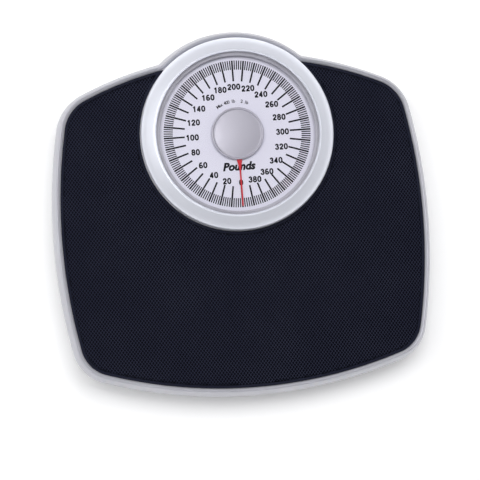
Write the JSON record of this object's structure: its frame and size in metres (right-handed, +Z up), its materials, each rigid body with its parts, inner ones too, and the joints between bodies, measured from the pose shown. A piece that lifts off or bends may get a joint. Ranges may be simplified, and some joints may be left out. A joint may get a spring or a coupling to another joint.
{
  "type": "mechanical platform scale",
  "caption": "Low mechanical floor scale: a curved platform with a dark patterned mat and a large round dial head with pointer, worked by levers, a spring, a bell crank and a rack.",
  "frame": {"origin": "middle of the overall footprint, on the floor", "axes": "+Z up; +Y from the standing area toward the dial; +X to the right of a person who stands on it and looks at the dial"},
  "size_m": [0.3506, 0.3392, 0.0605],
  "materials": {
    "tray_paint": "satin",
    "rubber": "matte",
    "zinc_steel": "satin",
    "bright_steel": "polished",
    "hard_steel": "ground",
    "brass": "satin",
    "guide_plastic": "matte",
    "dial_white": "satin",
    "pointer_red": "gloss",
    "silver_plastic": "silver satin",
    "spring_steel": "oiled",
    "black_plastic": "matte",
    "platform_paint": "silver satin",
    "mat_rubber": "embossed matte",
    "lens_glass": "clear",
    "surround_plastic": "satin"
  },
  "bodies": {
    "base": {"base_tray": "tray_paint", "foot_front_left": "rubber", "foot_front_right": "rubber", "foot_rear_left": "rubber", "foot_rear_right": "rubber", "fulcrum_bracket_front_left": "zinc_steel", "fulcrum_bracket_front_right": "zinc_steel", "fulcrum_bracket_rear_left": "zinc_steel", "fulcrum_bracket_rear_right": "zinc_steel", "fulcrum_rivets": "bright_steel", "works_frame": "zinc_steel", "works_screws": "bright_steel", "shaft_bush": "brass", "rack_guide": "guide_plastic", "crank_bracket": "zinc_steel", "crank_pin": "bright_steel", "dial_posts": "bright_steel", "dial_plate": "dial_white", "screw_foot": "brass", "main_spring": "spring_steel"},
    "main_lever": {"main_lever_left": "zinc_steel", "main_lever_right": "zinc_steel", "main_lever_nose": "zinc_steel", "main_lever_knives": "hard_steel"},
    "short_lever_left": {"short_lever_left": "zinc_steel", "short_lever_knives_left": "hard_steel", "short_lever_hook_left": "hard_steel"},
    "short_lever_right": {"short_lever_right": "zinc_steel", "short_lever_knives_right": "hard_steel", "short_lever_hook_right": "hard_steel"},
    "draw": {"draw_bracket": "zinc_steel", "draw_pins": "bright_steel"},
    "crank": {"bell_crank": "zinc_steel"},
    "rack": {"gear_rack": "brass", "rack_pin": "bright_steel"},
    "pointer": {"pinion_gear": "brass", "pointer_shaft": "bright_steel", "pointer_needle": "pointer_red", "hub_cap": "silver_plastic"},
    "anchor": {"anchor_arm": "zinc_steel"},
    "zero_adjuster": {"zero_screw": "bright_steel", "zero_wheel": "black_plastic"},
    "platform": {"platform_cover": "platform_paint", "standing_mat": "mat_rubber", "load_bracket_front_left": "zinc_steel", "load_bracket_front_right": "zinc_steel", "load_bracket_rear_left": "zinc_steel", "load_bracket_rear_right": "zinc_steel", "dial_bezel": "silver_plastic", "dial_lens": "lens_glass", "dial_surround": "surround_plastic"}
  },
  "joints": [
    {"name": "pointer_spin", "type": "hinge", "parent": "base", "child": "pointer", "pos_m": [0, 0.0716, 0.044], "axis": [0, 0, 1], "range_deg": [-369.04, 0]},
    {"name": "platform_press", "type": "slide", "parent": "base", "child": "platform", "axis": [0, 0, 1], "range_m": [-0.00103, 0], "stiffness_N_per_m": 1770000, "springref_m": 0.00002},
    {"name": "main_lever_tilt", "type": "hinge", "parent": "base", "child": "main_lever", "pos_m": [0, -0.1034, 0.026], "axis": [1, 0, 0], "range_deg": [-2.95, 0]},
    {"name": "short_lever_left_tilt", "type": "hinge", "parent": "base", "child": "short_lever_left", "pos_m": [-0.14, 0.0766, 0.026], "axis": [1, 0, 0], "range_deg": [0, 2.95]},
    {"name": "short_lever_right_tilt", "type": "hinge", "parent": "base", "child": "short_lever_right", "pos_m": [0.14, 0.0766, 0.026], "axis": [1, 0, 0], "range_deg": [0, 2.95]},
    {"name": "draw_slide", "type": "slide", "parent": "base", "child": "draw", "axis": [0, 0, 1], "range_m": [-0.01064, 0], "deforming": ["main_spring"]},
    {"name": "crank_tilt", "type": "hinge", "parent": "base", "child": "crank", "pos_m": [0.013, 0.11621, 0.02018], "axis": [1, 0, 0], "range_deg": [0, 44.16]},
    {"name": "rack_slide", "type": "slide", "parent": "base", "child": "rack", "axis": [0, 1, 0], "range_m": [-0.01932, 0]},
    {"name": "zero_turn", "type": "hinge", "parent": "base", "child": "zero_adjuster", "pos_m": [-0.01, 0.1496, 0.02], "axis": [0, 0, 1], "range_deg": [-360.05, 360.05]},
    {"name": "anchor_slide", "type": "slide", "parent": "base", "child": "anchor", "axis": [0, 0, 1], "range_m": [-0.0008, 0.0008]}
  ],
  "couplings": [
    {"joint": "pointer_spin", "follows": "platform_press", "rad_per_m": 6252.7},
    {"joint": "main_lever_tilt", "follows": "platform_press", "rad_per_m": 50},
    {"joint": "short_lever_left_tilt", "follows": "platform_press", "rad_per_m": -50},
    {"joint": "short_lever_right_tilt", "follows": "platform_press", "rad_per_m": -50},
    {"joint": "draw_slide", "follows": "platform_press", "ratio": 10.325},
    {"joint": "crank_tilt", "follows": "platform_press", "rad_per_m": -748.21},
    {"joint": "rack_slide", "follows": "platform_press", "ratio": 18.758},
    {"joint": "zero_turn", "follows": "anchor_slide", "rad_per_m": -7854}
  ]
}
